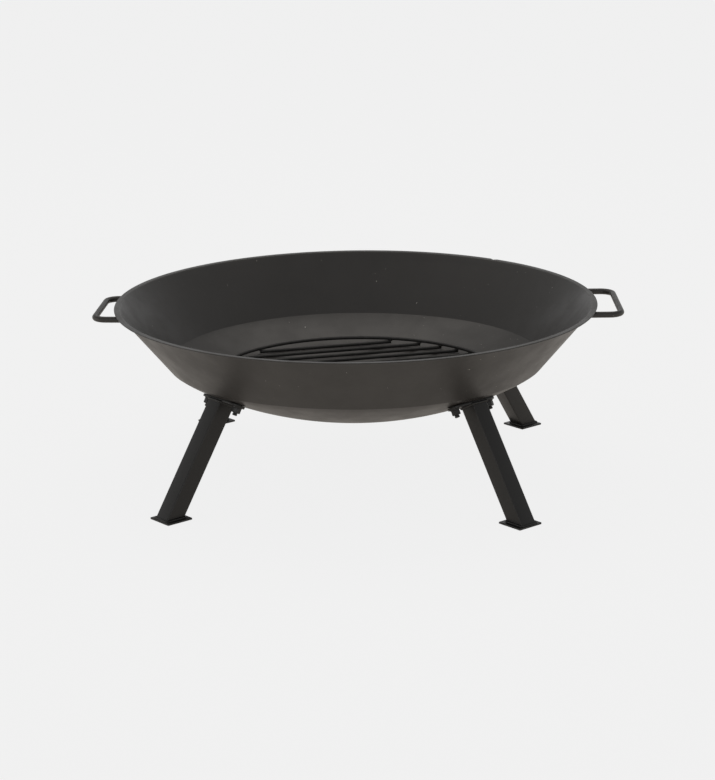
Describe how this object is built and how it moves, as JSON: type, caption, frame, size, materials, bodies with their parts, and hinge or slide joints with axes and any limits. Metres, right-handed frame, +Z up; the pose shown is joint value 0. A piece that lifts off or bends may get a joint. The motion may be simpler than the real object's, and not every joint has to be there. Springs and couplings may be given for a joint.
{
  "type": "fire pit with grate",
  "caption": "Shallow round sheet-steel fire bowl with lipped rim, side handles, splayed square-tube legs on foot plates and a loose round bar grate.",
  "frame": {"origin": "on the floor, under the middle of the bowl", "axes": "+Z up, +X to the right through the middle of the right handle, +Y to the back; the bars of the grate lie turned 14.8 degrees from X and the legs stand 4.4 degrees clockwise of the diagonals"},
  "size_m": [0.8727, 0.8, 0.292],
  "materials": {
    "bowl_paint": "satin",
    "leg_paint": "satin",
    "fastener_steel": "satin",
    "grate_steel": "matt"
  },
  "bodies": {
    "pit": {"bowl": "bowl_paint", "handle_left": "bowl_paint", "handle_right": "bowl_paint", "leg_tube_front_left": "leg_paint", "leg_tube_front_right": "leg_paint", "leg_tube_back_left": "leg_paint", "leg_tube_back_right": "leg_paint", "foot_plate_front_left": "leg_paint", "foot_plate_front_right": "leg_paint", "foot_plate_back_left": "leg_paint", "foot_plate_back_right": "leg_paint", "top_plate_front_left": "leg_paint", "top_plate_front_right": "leg_paint", "top_plate_back_left": "leg_paint", "top_plate_back_right": "leg_paint", "studs_front_left": "fastener_steel", "studs_front_right": "fastener_steel", "studs_back_left": "fastener_steel", "studs_back_right": "fastener_steel", "washers_front_left": "fastener_steel", "washers_front_right": "fastener_steel", "washers_back_left": "fastener_steel", "washers_back_right": "fastener_steel", "nuts_front_left": "fastener_steel", "nuts_front_right": "fastener_steel", "nuts_back_left": "fastener_steel", "nuts_back_right": "fastener_steel"},
    "grate": {"grate_ring": "grate_steel", "grate_bar_01": "grate_steel", "grate_bar_02": "grate_steel", "grate_bar_03": "grate_steel", "grate_bar_04": "grate_steel", "grate_bar_05": "grate_steel", "grate_bar_06": "grate_steel", "grate_bar_07": "grate_steel", "grate_bar_08": "grate_steel", "grate_bar_09": "grate_steel", "grate_bar_10": "grate_steel", "grate_bar_11": "grate_steel", "grate_bar_12": "grate_steel", "grate_bar_13": "grate_steel", "grate_bar_14": "grate_steel"}
  },
  "joints": [
    {"name": "grate_lift", "type": "slide", "parent": "pit", "child": "grate", "axis": [0, 0, 1], "range_m": [0, 0.2]}
  ]
}
